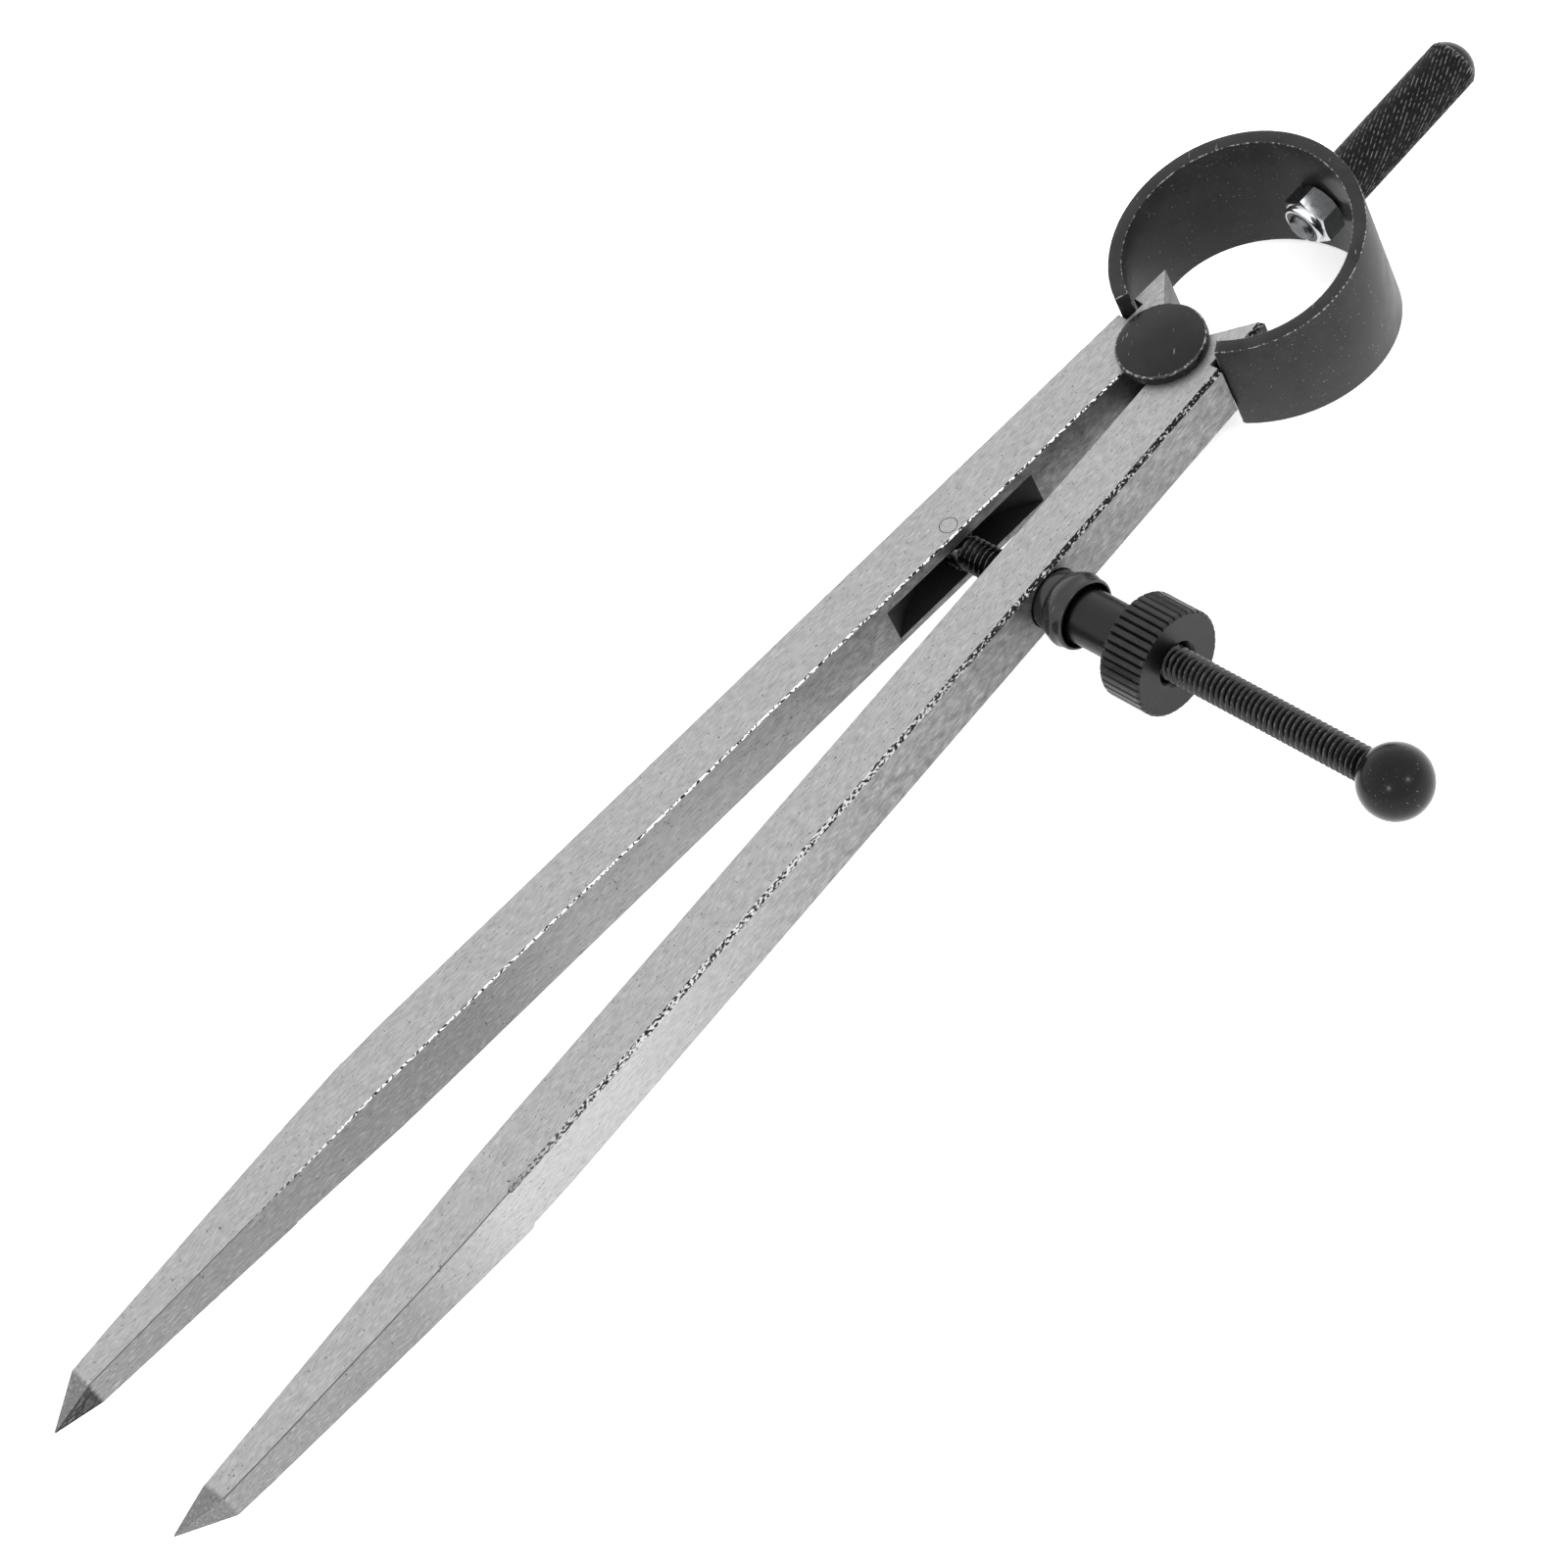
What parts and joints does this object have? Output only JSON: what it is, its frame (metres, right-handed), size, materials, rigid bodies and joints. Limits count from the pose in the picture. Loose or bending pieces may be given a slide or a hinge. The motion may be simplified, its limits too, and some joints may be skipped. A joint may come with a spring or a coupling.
{
  "type": "divider_caliper",
  "caption": "Spring-bow divider caliper with ground steel legs, black bow spring, knurled handle, adjusting nut and ball-ended screw",
  "frame": {"origin": "middle of the base of the bounding box, the divider lying on its back", "axes": "+Z is the front face, +Y runs from the points to the handle, +X runs along the adjusting screw to its ball"},
  "size_m": [0.0926, 0.2608, 0.0214],
  "materials": {
    "ground_steel": "satin",
    "black_oxide": "satin",
    "spring_steel": "satin",
    "zinc_plate": "satin",
    "nylon": "matte"
  },
  "bodies": {
    "bow": {"bow_spring": "spring_steel", "handle_grip": "black_oxide", "handle_stud": "zinc_plate", "lock_nut_body": "zinc_plate", "lock_nut_insert": "nylon", "fulcrum_stud": "black_oxide", "fulcrum_rear_disc": "black_oxide"},
    "left": {"left_leg": "ground_steel", "screw_pivot_pin": "ground_steel"},
    "right": {"right_leg": "ground_steel"},
    "screw": {"adjusting_screw": "black_oxide", "ball_end": "black_oxide"},
    "washer": {"cup_washer": "black_oxide"},
    "nut": {"adjusting_nut": "black_oxide"}
  },
  "joints": [
    {"name": "left_leg_hinge", "type": "hinge", "parent": "bow", "child": "left", "pos_m": [-0.02812, 0.06927, 0.0107], "axis": [0, 0, -1], "range_deg": [-3.5, 24], "deforming": ["bow_spring"]},
    {"name": "right_leg_hinge", "type": "hinge", "parent": "bow", "child": "right", "pos_m": [-0.02812, 0.06927, 0.0107], "axis": [0, 0, 1], "range_deg": [-3.5, 24], "deforming": ["bow_spring"]},
    {"name": "screw_pivot", "type": "hinge", "parent": "left", "child": "screw", "pos_m": [-0.03363, 0.03246, 0.0103], "axis": [0, 0, 1], "range_deg": [-3.86, 26.41]},
    {"name": "washer_pivot", "type": "hinge", "parent": "right", "child": "washer", "pos_m": [-0.01541, 0.03317, 0.0103], "axis": [0, 0, -1], "range_deg": [-3.16, 21.61]},
    {"name": "nut_spin", "type": "hinge", "parent": "washer", "child": "nut", "pos_m": [-0.01541, 0.03317, 0.0103], "axis": [0.9992, 0.0391, 0], "range_deg": [-1646, 11281]}
  ],
  "couplings": [
    {"joint": "right_leg_hinge", "follows": "left_leg_hinge", "ratio": 1},
    {"joint": "screw_pivot", "follows": "left_leg_hinge", "ratio": 1.1},
    {"joint": "washer_pivot", "follows": "left_leg_hinge", "ratio": 0.9},
    {"joint": "nut_spin", "follows": "left_leg_hinge", "ratio": 470}
  ]
}
